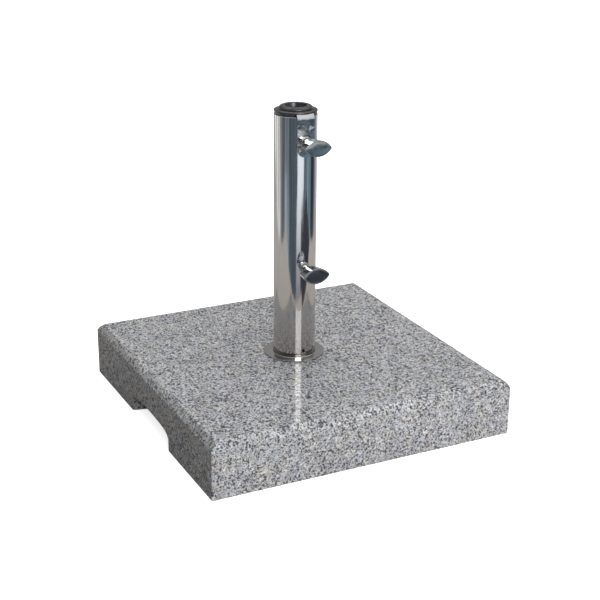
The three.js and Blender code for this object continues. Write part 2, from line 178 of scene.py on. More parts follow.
def round_normals(piece):
    """Exact round shading on the walls of an upright tube, whatever holes are cut in it."""
    mesh = piece.data
    mesh.shade_smooth()
    normals = []
    for face in mesh.polygons:
        for loop in face.loop_indices:
            spot = mesh.vertices[mesh.loops[loop].vertex_index].co
            radial = Vector((spot.x, spot.y, 0)).normalized()
            facing = face.normal.dot(radial)
            normals.append(radial * math.copysign(1, facing) if abs(facing) > 0.9 else face.normal.copy())
    mesh.normals_split_custom_set(normals)
    return piece


def knob_axis(side, turn=False):
    """Takes +Z, along which a knob's pieces are made, to -Y at the knob's height."""
    place = Matrix.Translation((0, 0, KNOB_HEIGHTS[side])) @ Matrix.Rotation(math.pi / 2, 4, "X")
    return place @ Matrix.Rotation(KNOB_TURNS[side], 4, "Z") if turn else place


PIECES = []


def finish_piece(piece, body, slot, *nodes):
    """The piece moves with body and stands for the nodes. The slot is not used."""
    PIECES.append(piece)
    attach(piece, body)
    if nodes:
        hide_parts(*nodes)
    return piece


# ---------------------------------------------------------------- material helpers


class Nodes:
    """Builds the nodes of one node tree. A value may be a number, a colour or another node's socket."""

    def __init__(self, tree):
        self.tree = tree

    def node(self, kind, links=None, **settings):
        made = self.tree.nodes.new(kind)
        for key, value in settings.items():
            setattr(made, key, value)
        for socket, source in (links or {}).items():
            self.feed(made.inputs[socket], source)
        return made

    def feed(self, socket, source):
        if isinstance(source, bpy.types.NodeSocket):
            self.tree.links.new(source, socket)
        else:
            socket.default_value = source

    def math(self, operation, first, second=0.5, clamp=False):
        made = self.node("ShaderNodeMath", {0: first, 1: second}, operation=operation, use_clamp=clamp)
        return made.outputs[0]

    def span(self, value, low, high, to_low=0.0, to_high=1.0):
        """Maps low..high to to_low..to_high, clamped."""
        links = {"Value": value, "From Min": low, "From Max": high, "To Min": to_low, "To Max": to_high}
        return self.node("ShaderNodeMapRange", links).outputs[0]

    def ramp(self, value, stops):
        """A colour ramp with (position, colour) stops."""
        made = self.node("ShaderNodeValToRGB", {"Fac": value})
        elements = made.color_ramp.elements
        while len(elements) < len(stops):
            elements.new(0.5)
        for element, (position, colour) in zip(elements, stops):
            element.position = position
            element.color = (*colour, 1)
        return made.outputs["Color"]

    def mix(self, factor, first, second, blend="MIX"):
        links = {"Factor": factor, 6: first, 7: second}
        return self.node("ShaderNodeMix", links, data_type="RGBA", blend_type=blend).outputs[2]

    def scaled(self, colour, value):
        """The colour multiplied by a value."""
        grey = self.node("ShaderNodeCombineColor", {"Red": value, "Green": value, "Blue": value}).outputs[0]
        return self.mix(1.0, colour, grey, "MULTIPLY")

    def parts(self, vector):
        """The outputs X, Y and Z of a vector."""
        return self.node("ShaderNodeSeparateXYZ", {"Vector": vector}).outputs


class Painter(Nodes):
    """Builds one material's nodes. Patterns are in millimetres of the piece's own space."""

    def __init__(self, name):
        self.material = bpy.data.materials.new(name)
        self.material.use_nodes = True
        super().__init__(self.material.node_tree)
        self.shader = self.tree.nodes["Principled BSDF"]
        self.coordinates = self.node("ShaderNodeTexCoord")
        self.millimetres = self.vector("SCALE", self.coordinates.outputs["Object"], Scale=1000)

    def vector(self, operation, first, second=None, **inputs):
        made = self.node("ShaderNodeVectorMath", {0: first}, operation=operation)
        if second is not None:
            self.feed(made.inputs[1], second)
        for name, value in inputs.items():
            self.feed(made.inputs[name], value)
        return made.outputs[0]

    def noise(self, scale, detail=2.0, roughness=0.5, place=None, colour=False):
        place = place or self.millimetres
        links = {"Vector": place, "Scale": scale, "Detail": detail, "Roughness": roughness}
        return self.node("ShaderNodeTexNoise", links).outputs["Color" if colour else "Fac"]

    def stretched(self, x, y, z):
        return self.vector("MULTIPLY", self.millimetres, (x, y, z))

    def bump(self, height, distance, strength=1.0):
        """Height field in millimetres to a normal."""
        links = {"Height": height, "Distance": distance * MM, "Strength": strength}
        self.feed(self.shader.inputs["Normal"], self.node("ShaderNodeBump", links).outputs[0])

    def set(self, **inputs):
        for name, value in inputs.items():
            self.feed(self.shader.inputs[name.replace("_", " ")], value)


# Dark grains of the granite: (cells per millimetre, share of the cells, darkness).
MICA_FLECKS = [(0.3, 0.2, 0.88), (0.48, 0.29, 0.95), (0.8, 0.28, 0.9)]


def granite_material():
    """Light grey granite: mica, quartz and feldspar grains. The top is polished, the sides are honed."""
    p = Painter("granite")
    wander = p.vector("SCALE", p.noise(0.8, 3, 0.65, colour=True), Scale=2.0)
    place = p.vector("ADD", p.millimetres, wander)
    swarms = p.math("ADD", p.span(p.noise(0.13, 3, 0.6), 0.3, 0.7, -0.1, 0.1),
                    p.span(p.noise(0.035, 2, 0.5), 0.3, 0.7, -0.05, 0.05))

    def grains(scale, smoothness=0.0):
        feature = "SMOOTH_F1" if smoothness else "F1"
        cells = p.node("ShaderNodeTexVoronoi", {"Vector": place, "Scale": scale}, feature=feature)
        if smoothness:
            cells.inputs["Smoothness"].default_value = smoothness
        return cells.outputs["Distance"], p.node("ShaderNodeSeparateColor", {"Color": cells.outputs["Color"]})

    _, quartz = grains(0.45, 0.3)
    mineral = p.ramp(p.math("SUBTRACT", quartz.outputs[0], swarms, clamp=True), [
        (0.0, (0.28, 0.285, 0.3)), (0.35, (0.41, 0.416, 0.432)), (0.65, (0.49, 0.496, 0.51)),
        (0.9, (0.58, 0.585, 0.6)), (1.0, (0.62, 0.615, 0.605)),
    ])
    distance, pick = grains(0.24)
    chosen = p.span(p.math("ADD", pick.outputs[2], swarms), 0.2, 0.15)
    feldspar = p.math("MULTIPLY", chosen, p.span(distance, 0.8, 0.4))
    mineral = p.mix(p.math("MULTIPLY", feldspar, 0.75), mineral, (0.7, 0.695, 0.685, 1))
    for scale, share, darkness in MICA_FLECKS:
        distance, pick = grains(scale)
        chosen = p.span(p.math("ADD", pick.outputs[1], swarms), share, share - 0.05)
        fleck = p.math("MULTIPLY", chosen, p.span(distance, 0.68, 0.52))
        mineral = p.mix(p.math("MULTIPLY", fleck, darkness), mineral, (0.03, 0.033, 0.044, 1))
    mineral = p.scaled(mineral, p.span(p.noise(1.6, 2, 0.6), 0.3, 0.7, 0.78, 1.2))
    mineral = p.scaled(mineral, p.span(p.noise(0.011, 4, 0.6), 0.3, 0.7, 0.92, 1.07))
    tint = p.ramp(p.noise(0.05, 3, 0.6), [
        (0.35, (0.96, 0.99, 1.03)), (0.5, (1, 1, 1)), (0.68, (1.02, 1.0, 0.94)),
    ])
    mineral = p.mix(1.0, mineral, tint, "MULTIPLY")
    polished = p.span(p.parts(p.coordinates.outputs["Normal"])["Z"], 0.9, 0.99)
    gloss = p.span(p.noise(0.9, 2), 0.3, 0.7, -0.02, 0.03)
    p.set(Base_Color=mineral, IOR=1.5,
          Roughness=p.math("ADD", p.span(polished, 0, 1, 0.46, 0.065), gloss))
    pits = p.math("MULTIPLY", p.noise(1.1, 3, 0.6), p.span(polished, 0, 1, 1.0, 0.005))
    p.bump(pits, 0.35, 0.8)
    return p.material


def tube_material():
    """Mirror-polished stainless tube, with the marks of polishing along it, a little darker at its foot."""
    p = Painter("polished_tube")
    marks = p.noise(1.0, 3, 0.6, p.stretched(2.2, 2.2, 0.02))
    smudges = p.noise(0.03, 3, 0.55, p.stretched(1, 1, 0.4))
    clean = p.ramp(smudges, [(0.3, (0.66, 0.67, 0.69)), (0.7, (0.74, 0.745, 0.75))])
    rise = p.span(p.parts(p.millimetres)["Z"], 100, 230)
    matt = p.span(smudges, 0.35, 0.65, 0.07, 0.11)
    p.set(Base_Color=p.mix(rise, (0.55, 0.515, 0.485, 1), clean), Metallic=1.0, Anisotropic=0.6,
          Roughness=p.math("ADD", matt, p.span(marks, 0.3, 0.7, -0.02, 0.03)),
          Tangent=p.node("ShaderNodeTangent", direction_type="RADIAL", axis="Z").outputs[0])
    waves = p.noise(0.05, 2, 0.5, p.stretched(1, 1, 0.35))
    p.bump(p.math("ADD", waves, p.math("MULTIPLY", marks, 0.012)), 0.35, 0.35)
    return p.material


def sheet_steel_material():
    """Polished pressed sheet with slight dents and waves."""
    p = Painter("polished_sheet")
    smudges = p.noise(0.08, 4, 0.6)
    waves = p.noise(0.06, 1.5, 0.4)
    p.set(Base_Color=p.ramp(smudges, [(0.3, (0.68, 0.69, 0.71)), (0.7, (0.78, 0.785, 0.79))]),
          Metallic=1.0, Roughness=p.span(smudges, 0.3, 0.7, 0.07, 0.13))
    p.bump(waves, 1.7, 0.7)
    return p.material


def rosette_material():
    """Spun and polished cover."""
    p = Painter("polished_rosette")
    smudges = p.noise(0.09, 4, 0.6)
    p.set(Base_Color=p.ramp(smudges, [(0.3, (0.54, 0.54, 0.545)), (0.7, (0.63, 0.625, 0.62))]),
          Metallic=1.0, Roughness=p.span(smudges, 0.3, 0.7, 0.1, 0.15))
    p.bump(p.noise(0.06, 2), 0.3, 0.3)
    return p.material


def chrome_material():
    """Chromed zinc casting: bright, with the faint orange peel of plating."""
    p = Painter("knob_chrome")
    smudges = p.noise(0.12, 4, 0.6)
    p.set(Base_Color=p.ramp(smudges, [(0.3, (0.58, 0.59, 0.61)), (0.7, (0.68, 0.69, 0.7))]),
          Metallic=1.0, Roughness=p.span(smudges, 0.3, 0.7, 0.08, 0.15))
    p.bump(p.noise(0.25, 2, 0.5), 0.05, 0.3)
    return p.material


def zinc_material():
    """Bright zinc plate with uneven passivation."""
    p = Painter("zinc_plate")
    bloom = p.noise(0.25, 4, 0.65)
    plate = [(0.3, (0.5, 0.51, 0.53)), (0.5, (0.62, 0.625, 0.62)), (0.7, (0.68, 0.67, 0.62))]
    p.set(Base_Color=p.ramp(bloom, plate),
          Metallic=1.0, Roughness=p.span(bloom, 0.3, 0.7, 0.24, 0.42))
    p.bump(p.noise(1.2, 3, 0.6), 0.06, 0.5)
    return p.material


def plastic_material():
    """Black moulded plastic: fine spark-eroded grain, paler where it is rubbed."""
    p = Painter("black_plastic")
    rub = p.noise(0.12, 4, 0.65)
    grain = p.noise(2.2, 2, 0.6)
    matt = p.span(rub, 0.3, 0.7, 0.13, 0.22)
    p.set(Base_Color=p.ramp(rub, [(0.35, (0.018, 0.019, 0.021)), (0.7, (0.042, 0.043, 0.047))]),
          Roughness=p.math("ADD", matt, p.span(grain, 0.3, 0.7, -0.03, 0.03)), IOR=1.6)
    p.bump(grain, 0.05, 0.6)
    return p.material


def nylon_material():
    """Natural nylon, slightly translucent and waxy."""
    p = Painter("nylon")
    tone = p.noise(0.3, 3)
    p.set(Base_Color=p.ramp(tone, [(0.3, (0.66, 0.64, 0.57)), (0.7, (0.74, 0.72, 0.66))]),
          Roughness=p.span(tone, 0.3, 0.7, 0.42, 0.55), Subsurface_Weight=0.15)
    p.bump(p.noise(1.5, 2), 0.04, 0.5)
    return p.material


GRANITE = granite_material()
TUBE_STEEL = tube_material()
SHEET_STEEL = sheet_steel_material()
ROSETTE_STEEL = rosette_material()
CHROME = chrome_material()
ZINC = zinc_material()
PLASTIC = plastic_material()
NYLON = nylon_material()

# ---------------------------------------------------------------- granite slab


def slab_ring(half, radius, height, per_side=44, per_corner=6):
    """Square ring with round corners, in millimetres, with points along its sides too."""
    ring = []
    for corner in range(4):
        middle = (corner + 0.5) * math.pi / 2
        hub = Vector((math.cos(middle), math.sin(middle), 0)) * (half - radius) * math.sqrt(2)
        for step in range(per_corner + 1):
            angle = (corner + step / per_corner) * math.pi / 2
            ring.append(hub + radius * Vector((math.cos(angle), math.sin(angle), 0)))
        leaving = (corner + 1) * math.pi / 2
        along = Vector((-math.sin(leaving), math.cos(leaving), 0))
        start = ring[-1].copy()
        for step in range(1, per_side):
            ring.append(start + along * (2 * (half - radius) * step / per_side))
    return [Vector((p.x, p.y, height)) * MM for p in ring]


def chipped(ring, depth):
    """Draws a ring in and out a little, as a sawn and ground stone edge is."""
    moved = []
    for point in ring:
        dent = noise.noise(point * 90) + 0.6 * noise.noise(point * 260)
        outward = Vector((point.x, point.y, 0)).normalized()
        moved.append(point - outward * max(0.0, dent + 0.2) * depth * MM)
    return moved


def granite_slab():
    """Sawn block with an eased top edge, a finger recess in two sides and a stepped bolt hole from below."""
    half, top = SLAB_HALF / MM, SLAB_TOP / MM
    arris, ease_in, ease_down, bulge, corner = 0.3, 8.3, 10, 0.7, 1.8
    straight, land = 1.4, 6
    rings = [slab_ring(half - arris, corner, 0), slab_ring(half, corner, arris),
             slab_ring(half, corner, top - ease_down - straight)]
    steps = 10
    for step in range(steps + 1):
        along = step / steps
        bow = bulge * math.sin(along * math.pi) / math.sqrt(2)
        height = min(top, top - ease_down * (1 - along) + bow)
        rings.append(slab_ring(min(half, half - ease_in * along + bow), corner, height))
    for edge, depth in ((1, 0.3), (3, 0.25), (-1, 0.3)):
        rings[edge] = chipped(rings[edge], depth)
    rings.append(slab_ring(half - ease_in - land, corner, top))
    slab = lofted("granite_block", rings, GRANITE)
    for side in (-1, 1):
        carve(slab, finger_recess(side))
    well, well_depth, hole, past = 30, 22, 7, 2
    carve(slab, turned("bolt_well", [
        (0, -past), (well + 0.6, -past), (well, 0.6), (well, well_depth), (hole, well_depth),
        (hole, top - 0.6), (hole + 0.8, top + past), (0, top + past)], 96))
    return smooth(slab, 24)


def finger_recess(side):
    """Cutter for the recess in the -X (side -1) or +X (side 1) face, rounded at its mouth and inside."""
    half_width, inner_half_width, depth, ceiling, rise = 70, 62, 36, 23, 4
    corner_drop, under = 7, -3
    mouth, bottom = 3.2, 9

    def section(inward, shrink, lower):
        x = side * (SLAB_HALF / MM - inward)
        along = min(1.0, max(0.0, inward / depth))
        half = half_width + (inner_half_width - half_width) * along - shrink
        ring = [(x, -half, under)]
        steps = 40
        for step in range(steps + 1):
            across = -1 + 2 * step / steps
            corner = corner_drop * abs(across) ** 12
            ring.append((x, across * half, ceiling + rise * (1 - across * across) - lower - corner))
        ring.append((x, half, under))
        points = [Vector(p) * MM for p in ring]
        return points[::-1] if side < 0 else points

    rings = [section(-1, -mouth, -mouth)]
    for turn in quarter_turn(6):
        flare = mouth * (1 - math.sin(turn))
        rings.append(section(mouth * (1 - math.cos(turn)), -flare, -flare))
    rings.append(section(depth * 0.5, 0, 0.4))
    for turn in quarter_turn(6):
        shut = bottom * (1 - math.cos(turn))
        rings.append(section(depth - bottom + bottom * math.sin(turn), shut * 0.6, 1 + shut * 0.9))
    return lofted("recess_cutter", rings)


finish_piece(granite_slab(), "stand", "granite", "granite_slab")

# ---------------------------------------------------------------- tube, foot disc and rosette


def knob_hole(side, radius, near, far):
    """Cutter along a knob's axis between two distances from the tube's axis, in millimetres."""
    cutter = turned("hole_cutter", [(0, near), (radius, near), (radius, far), (0, far)], 64)
    cutter.matrix_world = knob_axis(side)
    return cutter


def stand_tube():
    """Tube with rounded ends, a hole for each rivet nut and a drain hole at the foot, all in front."""
    radius, bore = TUBE_RADIUS / MM, TUBE_BORE / MM
    foot, rim = TUBE_FOOT / MM, TUBE_RIM / MM
    foot_round, rim_round = 0.3, 0.35
    inside, outside = radius / 2, radius + 5
    tube = turned("polished_tube", [
        (bore + foot_round, foot), (radius - foot_round, foot), (radius, foot + foot_round),
        (radius, rim - rim_round), (radius - rim_round, rim),
        (bore + rim_round, rim), (bore, rim - rim_round), (bore, foot + foot_round),
    ], 192, TUBE_STEEL)
    for side in ("upper", "lower"):
        carve(tube, knob_hole(side, NUT_HOLE_RADIUS, inside, outside))
    drain = turned("drain_cutter", [
        (0, inside), (DRAIN_RADIUS, inside), (DRAIN_RADIUS, outside), (0, outside)], 40)
    drain.matrix_world = Matrix.Translation((0, 0, DRAIN_HEIGHT * MM)) @ Matrix.Rotation(math.pi / 2, 4, "X")
    carve(tube, drain)
    return round_normals(tube)


def cover_rosette():
    """Pressed ring on a hem set in from its rim, with a fine ridge and a bead round the tube."""
    low, radius = rosette_low.z / MM, rosette_high.x / MM
    bore, sheet = TUBE_RADIUS / MM + 0.5, 1.0
    edge, flat, lip = 1.75, 1.86, 0.35
    hem = 4.4
    profile = [(radius - hem, low), (radius - hem + 0.6, low), (radius - hem + 0.8, low + 0.95),
               (radius - 0.2, low + 1.0), (radius, low + 1.15), (radius, low + edge - lip)]
    for turn in quarter_turn(4)[1:]:
        profile.append((radius - lip + lip * math.cos(turn), low + edge - lip + lip * math.sin(turn)))
    ridge = bore + 5.6
    profile += [(ridge + 0.7, low + flat - 0.01), (ridge + 0.5, low + flat), (ridge, low + flat + 0.12),
                (ridge - 0.5, low + flat), (ridge - 0.7, low + flat)]
    profile += [(bore + 0.75, low + flat), (bore + 0.6, low + flat + 0.05), (bore + 0.35, low + flat + 0.3),
                (bore + 0.1, low + flat + 0.3), (bore, low + flat + 0.15)]
    profile += [(bore, low + sheet), (bore + sheet, low + flat - sheet), (ridge, low + flat - sheet),
                (radius - hem, low + edge - sheet)]
    return smooth(turned("rosette_cover", profile, 192, ROSETTE_STEEL), 40)


def foot_disc():
    """Disc in the tube's foot that the bolt screws into."""
    low, high = (c.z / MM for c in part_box("tube_foot_disc"))
    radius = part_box("tube_foot_disc")[1].x / MM
    profile = [(6.2, low + 0.5), (6.7, low), (radius - 0.5, low), (radius, low + 0.5), (radius, high - 0.5),
               (radius - 0.5, high), (6.9, high), (6.2, high - 0.7)]
    return smooth(turned("foot_disc", profile, 96, ZINC), 30)


finish_piece(stand_tube(), "stand", "polished_steel", "stand_tube")
finish_piece(cover_rosette(), "stand", "polished_steel", "cover_rosette")
finish_piece(foot_disc(), "stand", "zinc_steel", "tube_foot_disc")

# ---------------------------------------------------------------- threads, bolt and washers


def threaded_bar(name, radius, pitch, low, high, material, sides=36, per_pitch=8, lead=1.0):
    """A screw thread along +Z between two heights in millimetres, fading at both ends."""
    depth = 0.56 * pitch
    rows = max(2, round((high - low) / pitch * per_pitch))
    rings = []
    for row in range(rows + 1):
        height = low + (high - low) * row / rows
        fade = min(1.0, (height - low) / lead, (high - height) / lead)
        ring = []
        for i in range(sides):
            turn = i / sides
            phase = (height / pitch - turn) % 1.0
            flank = min(1.0, max(0.0, 2.4 * abs(phase - 0.5) - 0.1))
            spot = radius - depth * (1 - fade) - depth * fade * flank
            angle = 2 * math.pi * turn
            ring.append(Vector((spot * math.cos(angle), spot * math.sin(angle), height)) * MM)
        rings.append(ring)
    return smooth(lofted(name, rings, material), 50)


def hexagon_head(name, flats, low, high, material):
    """A hexagon between two heights, its corners chamfered by a turned body."""
    corner = flats / math.sqrt(3)
    head = turned(name, [(0, low), (corner, low), (corner, high), (0, high)], 6, material)
    slope = math.tan(math.radians(30))
    edge = (corner - flats / 2) * slope + 0.35
    trim = turned("trim", [(0, low), (flats / 2 * 0.95, low), (corner + 0.2, low + edge + 0.2 * slope),
                           (corner + 0.2, high), (0, high)], 96)
    carve(head, trim, "INTERSECT")
    return smooth(head, 28)


def join(pieces, name):
    """Several meshes in one object."""
    merged = bmesh.new()
    for piece in pieces:
        merged.from_mesh(piece.data)
    target = pieces[0]
    merged.to_mesh(target.data)
    merged.free()
    for piece in pieces[1:]:
        bpy.data.objects.remove(piece)
    target.name = name
    return target


def anchor_parts():
    """Bolt from below, with the wide washer and the spring washer under its head."""
    head_low, end = (c.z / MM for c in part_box("anchor_bolt"))
    washer_low, washer_top = (c.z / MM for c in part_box("anchor_washer"))
    washer_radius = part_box("anchor_washer")[1].x / MM
    spring_low, spring_top = (c.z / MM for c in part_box("anchor_spring_washer"))
    flats, head_thickness, radius, core, pitch, thread_length = 18, 7.5, 5.9, 5.2, 1.75, 22
    head_high = head_low + head_thickness
    thread_start = end - thread_length
    head = hexagon_head("bolt_head", flats, head_low, head_high, ZINC)
    finish_piece(head, "stand", "zinc_steel", "anchor_bolt")
    shank = turned("bolt_shank", [
        (0, head_high - 0.2), (radius, head_high - 0.2), (radius, thread_start - 0.6),
        (core, thread_start + 0.3), (0, thread_start + 0.3)], 64, ZINC)
    finish_piece(smooth(shank), "stand", "zinc_steel")
    thread = threaded_bar("bolt_thread", radius, pitch, thread_start, end, ZINC, sides=48)
    finish_piece(thread, "stand", "zinc_steel")
    washer = turned("load_washer", [
        (6.4, washer_low + 0.3), (6.7, washer_low), (washer_radius - 0.6, washer_low),
        (washer_radius, washer_low + 0.5), (washer_radius, washer_top - 0.3),
        (washer_radius - 0.3, washer_top), (6.7, washer_top), (6.4, washer_top - 0.3)], 128, ZINC)
    finish_piece(smooth(washer), "stand", "zinc_steel", "anchor_washer")
    finish_piece(split_washer(spring_low, spring_top), "stand", "zinc_steel", "anchor_spring_washer")


def split_washer(low, high):
    """A square-section coil of just under one turn, its ends a little apart in height."""
    inner, outer, rise, steps = 6.4, 10.1, 0.35, 72
    slit = math.radians(10)
    rings = []
    for step in range(steps + 1):
        share = step / steps
        angle = slit / 2 + share * (2 * math.pi - slit)
        out = Vector((math.cos(angle), math.sin(angle), 0))
        base = low + rise * share
        top = high - rise * (1 - share)
        section = ((inner, base), (inner, top), (outer, top), (outer, base))
        rings.append([(out * r + Vector((0, 0, z))) * MM for r, z in section])
    return soften(lofted("split_washer", rings, ZINC), 0.3, 2, 40)


anchor_parts()

# ---------------------------------------------------------------- bracket over the rim


def bend_shoulder(y, z, reach):
    """Outside of a bend's front half, from its top: level, a tight arc, a leaning flat, a slow turn."""
    level, radius, lean, steps = 0.95, 1.1, math.radians(29), 10
    slow_turns, stride = [math.radians(a) for a in (22, 14, 6)], 0.4
    points = []
    for step in range(steps + 1):
        turn = math.pi / 2 + step / steps * (math.pi / 2 - lean)
        points.append((y - level + radius * math.cos(turn), z - radius + radius * math.sin(turn)))
    slow = sum(stride * math.sin(a) for a in slow_turns)
    flat = (reach - level - radius * math.cos(lean) - slow) / math.sin(lean)
    for angle, length in [(lean, flat)] + [(a, stride) for a in slow_turns]:
        last_y, last_z = points[-1]
        points.append((last_y - length * math.sin(angle), last_z - length * math.cos(angle)))
    last_y, last_z = points[-1]
    return points + [(last_y, last_z - 1.0)]


def clamp_bracket():
    """Strip bent over the tube's rim, its front leg with a round end and the nut's hole."""
    low, high = (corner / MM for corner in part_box("clamp_bracket"))
    half, sheet = high.x, 1.8
    front, back = low.y, high.y
    bend = (back - front) / 2
    middle_y, middle_z = (front + back) / 2, high.z - bend
    inner_end = 412
    round_end = low.z + half
    arc, round_steps, past = 24, 48, 5
    outline = [(front, low.z - 1), (front + sheet, low.z - 1)]
    for step in range(arc + 1):
        turn = math.pi - step / arc * math.pi
        inside = bend - sheet
        outline.append((middle_y + inside * math.cos(turn), middle_z + inside * math.sin(turn)))
    outline += [(back - sheet, inner_end), (back, inner_end)]
    for step in range(arc // 2):
        turn = step / arc * math.pi
        outline.append((middle_y + bend * math.cos(turn), middle_z + bend * math.sin(turn)))
    outline += bend_shoulder(middle_y, high.z, bend)
    rings = [[Vector((x, y, z)) * MM for y, z in outline] for x in (-half, half)]
    strip = lofted("polished_bracket", rings, SHEET_STEEL)
    tongue = []
    for step in range(round_steps + 1):
        turn = math.pi + step / round_steps * math.pi
        tongue.append((half * math.cos(turn), round_end + half * math.sin(turn)))
    tongue += [(half, high.z + past), (-half, high.z + past)]
    plates = [[Vector((x, y, z)) * MM for x, z in tongue] for y in (back + past, front - past)]
    carve(strip, lofted("tongue", plates), "INTERSECT")
    carve(strip, knob_hole("upper", NUT_HOLE_RADIUS + 0.05, -front - 6, -front + 5))
    return soften(strip, 0.35, 3, 40)


finish_piece(clamp_bracket(), "stand", "polished_steel", "clamp_bracket")

# ---------------------------------------------------------------- knobs

# Sizes in millimetres. Reaches are distances from the tube's axis.
NECK_RADIUS = 5.8
ALMOND_LENGTH, ALMOND_HEIGHT = 40, 22.5
ALMOND_BACK, ALMOND_RIM = 55, 70
SIDE_TAPER = 1.5
PANEL_INSET, PANEL_RISE, PANEL_CROWN = 1.4, 0.08, 0.25
STUD_RADIUS, STUD_PITCH, STUD_BORE = 3.9, 1.25, 4.3


def almond_point(turn, length, height, tip_round=0.8):
    """Point of the almond outline at a turn from 0 to 1, in millimetres. The tips are rounded a little."""
    half_length, half_height = length / 2, height / 2
    radius = (half_length ** 2 + half_height ** 2) / (2 * half_height)
    half_angle = math.asin(half_length / radius)
    side = 1 if turn < 0.5 else -1
    swing = side * half_angle * (1 - 4 * (turn % 0.5))
    x = radius * math.sin(swing)
    y = side * (radius * math.cos(swing) - radius + half_height)
    blunt = max(0.0, abs(x) - (half_length - tip_round))
    return x - math.copysign(blunt * 0.35, x), y


def knob_ring(share, inset, reach, count=128):
    """Ring between the round neck (share 0) and the almond (share 1), drawn in by an inset."""
    ring = []
    for i in range(count):
        turn = i / count
        ax, ay = almond_point(turn, ALMOND_LENGTH - 2.2 * inset, ALMOND_HEIGHT - 2 * inset)
        angle = 2 * math.pi * turn
        cx, cy = NECK_RADIUS * math.cos(angle), NECK_RADIUS * math.sin(angle)
        ring.append(Vector((cx + (ax - cx) * share, cy + (ay - cy) * share, reach)) * MM)
    return ring


def knob_grip(side):
    """Almond grip: round neck, swelling shoulders, straight sides, a bevelled rim and a crowned face."""
    neck = -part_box(f"{side}_knob_grip")[1].y / MM
    rings = [knob_ring(0, 0, neck)]
    shoulder_start, shoulder_end = neck + 5, ALMOND_BACK - 0.5
    steps = 14
    for step in range(steps + 1):
        share = step / steps
        eased = share * share * (3 - 2 * share)
        reach = shoulder_start + (shoulder_end - shoulder_start) * share
        rings.append(knob_ring(eased, SIDE_TAPER * share, reach))
    for share in (0.03, 0.1, 0.3, 0.6, 0.9, 1):
        reach = shoulder_end + (ALMOND_RIM - 0.5 - shoulder_end) * share
        rings.append(knob_ring(1, SIDE_TAPER * (1 - share), reach))
    rim = [(0.02, -0.3), (0.1, -0.12), (0.25, -0.03), (0.4, 0), (0.5, 0)]
    step_up = [(-0.1, 0), (0, 0), (0.15, 0.3), (0.3, 0.8), (0.45, 1), (0.55, 1)]
    rim += [(PANEL_INSET + across, PANEL_RISE * up) for across, up in step_up]
    rings += [knob_ring(1, inset, ALMOND_RIM + lift) for inset, lift in rim]
    face = 12
    for step in range(1, face):
        share = step / face
        inset = PANEL_INSET + 0.55 + (ALMOND_HEIGHT / 2 - PANEL_INSET - 0.7) * share
        rings.append(knob_ring(1, inset, ALMOND_RIM + PANEL_RISE + PANEL_CROWN * (1 - (1 - share) ** 2)))
    grip = lofted(f"{side}_almond_grip", rings, CHROME)
    bore_start, bore_end = neck - 2, 53.3
    carve(grip, turned("bore", [
        (0, bore_start), (STUD_BORE, bore_start), (STUD_BORE, bore_end), (0, bore_end)], 48))
    grip.data.transform(knob_axis(side, turn=True))
    return smooth(grip, 38)


def knob_collar(side):
    """Ring between the nut and the grip."""
    back, front = (-c.y / MM for c in reversed(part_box(f"{side}_knob_collar")))
    radius, chamfer = 6, 0.5
    collar = turned(f"{side}_collar_ring", [
        (STUD_BORE, back), (radius - chamfer, back), (radius, back + chamfer), (radius, front - chamfer),
        (radius - chamfer, front), (STUD_BORE, front)], 96, CHROME)
    collar.data.transform(knob_axis(side, turn=True))
    return smooth(collar)


def knob_stud(side):
    """Threaded stud with the plain dog that holds the thrust tip."""
    start, end, dog_end, dog_radius = 19.6, 52.8, 16.4, 2.4
    thread = threaded_bar(f"{side}_stud_thread", STUD_RADIUS, STUD_PITCH, start, end, ZINC)
    dog = smooth(turned("dog", [
        (0, dog_end), (dog_radius - 0.2, dog_end), (dog_radius, dog_end + 0.2), (dog_radius, start + 0.4),
        (0, start + 0.4)], 40, ZINC))
    stud = join([thread, dog], f"{side}_stud")
    stud.data.transform(knob_axis(side, turn=True))
    return stud


def rivet_nut(side):
    """Threaded insert: body inside the tube, folded bulge behind its wall, flange in front."""
    inner_end, outer_end = (-c.y / MM for c in reversed(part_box(f"{side}_rivet_nut")))
    flange = outer_end - 1.5
    bulge = flange - 3.6
    nut = turned(f"{side}_threaded_insert", [
        (STUD_BORE, inner_end), (5.2, inner_end), (5.5, inner_end + 0.3), (5.5, bulge - 2.2),
        (7.2, bulge - 0.9), (7.3, bulge), (5.6, bulge + 0.8), (5.6, flange), (7.7, flange),
        (8, flange + 0.3), (8, flange + 0.9), (7.4, flange + 1.4), (6.6, flange + 1.5),
        (4.7, flange + 1.5), (STUD_BORE, flange + 1.1)], 96, ZINC)
    nut.data.transform(knob_axis(side))
    return smooth(nut, 30)


def thrust_tip(side):
    """Cap on the stud's dog, which presses on the pole."""
    nose, seat, skirt, radius, bore = 14.5, 16.1, 19.3, 3.3, 2.8
    tip = turned(f"{side}_nylon_tip", [
        (0, nose), (2.5, nose), (3.1, nose + 0.25), (radius, nose + 0.8), (radius, skirt - 0.1),
        (radius - 0.1, skirt), (bore, skirt), (bore, seat), (0, seat)], 64, NYLON)
    tip.data.transform(knob_axis(side))
    return smooth(tip)


for side in ("upper", "lower"):
    finish_piece(knob_grip(side), f"{side}_knob", "knob_chrome", f"{side}_knob_grip")
    finish_piece(knob_collar(side), f"{side}_knob", "knob_chrome", f"{side}_knob_collar")
    finish_piece(knob_stud(side), f"{side}_knob", "zinc_steel", f"{side}_knob_stud")
    finish_piece(thrust_tip(side), f"{side}_screw_tip", "nylon", f"{side}_thrust_tip")
    finish_piece(rivet_nut(side), "stand", "zinc_steel", f"{side}_rivet_nut")

# ---------------------------------------------------------------- reducers

SLEEVE_END, LIP_GAP = 405, 0.3


